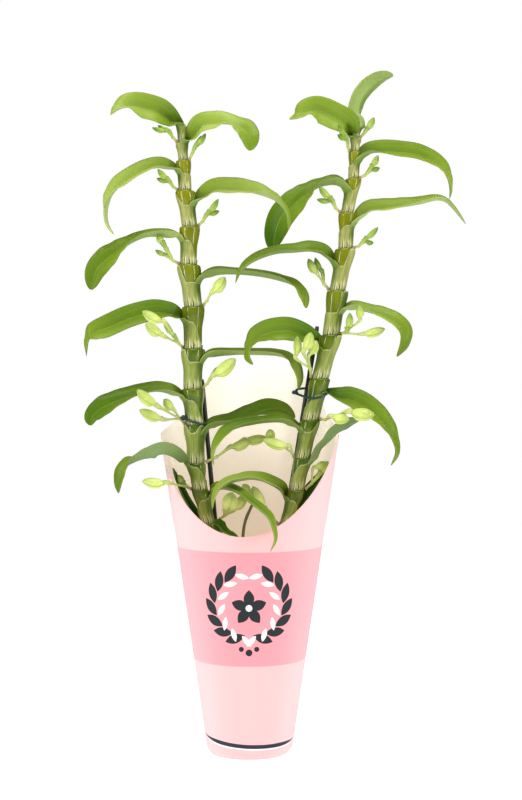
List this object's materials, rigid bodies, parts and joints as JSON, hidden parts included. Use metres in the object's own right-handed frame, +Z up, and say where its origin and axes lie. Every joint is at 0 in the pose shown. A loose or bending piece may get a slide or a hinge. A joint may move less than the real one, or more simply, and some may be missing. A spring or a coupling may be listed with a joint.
{
  "type": "potted dendrobium orchid",
  "caption": "Potted dendrobium orchid in bud: jointed canes with papery sheaths and strap leaves, tied to stakes, in a tapered printed paper sleeve cut low in front and high behind.",
  "frame": {"origin": "bottom centre of the bounding box, on the surface the pot and sleeve stand on", "axes": "+Z up along the sleeve and canes, -Y towards the sleeve's low front edge, +X to the right seen from the front"},
  "size_m": [0.3342, 0.1714, 0.5976],
  "materials": {
    "leaf": "satin",
    "cane": "satin",
    "bud": "satin",
    "stake": "satin",
    "tie": "satin",
    "sleeve": "satin",
    "pot": "satin",
    "bark": "matte"
  },
  "bodies": {
    "root": {"sleeve": "sleeve", "grow_pot": "pot", "growing_medium": "bark", "cane_left": "cane", "cane_right": "cane", "leaf_left_01": "leaf", "leaf_left_02": "leaf", "leaf_left_03": "leaf", "leaf_left_04": "leaf", "leaf_left_05": "leaf", "leaf_left_06": "leaf", "leaf_left_07": "leaf", "leaf_left_08": "leaf", "leaf_left_09": "leaf", "leaf_left_10": "leaf", "leaf_left_11": "leaf", "leaf_left_12": "leaf", "leaf_left_13": "leaf", "leaf_left_14": "leaf", "leaf_right_01": "leaf", "leaf_right_02": "leaf", "leaf_right_03": "leaf", "leaf_right_04": "leaf", "leaf_right_05": "leaf", "leaf_right_06": "leaf", "leaf_right_07": "leaf", "leaf_right_08": "leaf", "leaf_right_09": "leaf", "leaf_right_10": "leaf", "leaf_right_11": "leaf", "leaf_right_12": "leaf", "leaf_right_13": "leaf", "buds_left_01": "bud", "buds_left_02": "bud", "buds_left_03": "bud", "buds_left_04": "bud", "buds_left_05": "bud", "buds_left_06": "bud", "buds_left_07": "bud", "buds_left_08": "bud", "buds_left_09": "bud", "buds_left_10": "bud", "buds_left_11": "bud", "buds_left_12": "bud", "buds_right_01": "bud", "buds_right_02": "bud", "buds_right_03": "bud", "buds_right_04": "bud", "buds_right_05": "bud", "buds_right_06": "bud", "buds_right_07": "bud", "buds_right_08": "bud", "buds_right_09": "bud", "buds_right_10": "bud", "buds_right_11": "bud", "buds_right_12": "bud", "stake_left": "stake", "stake_right": "stake", "tie_left": "tie", "tie_right": "tie"}
  },
  "joints": []
}
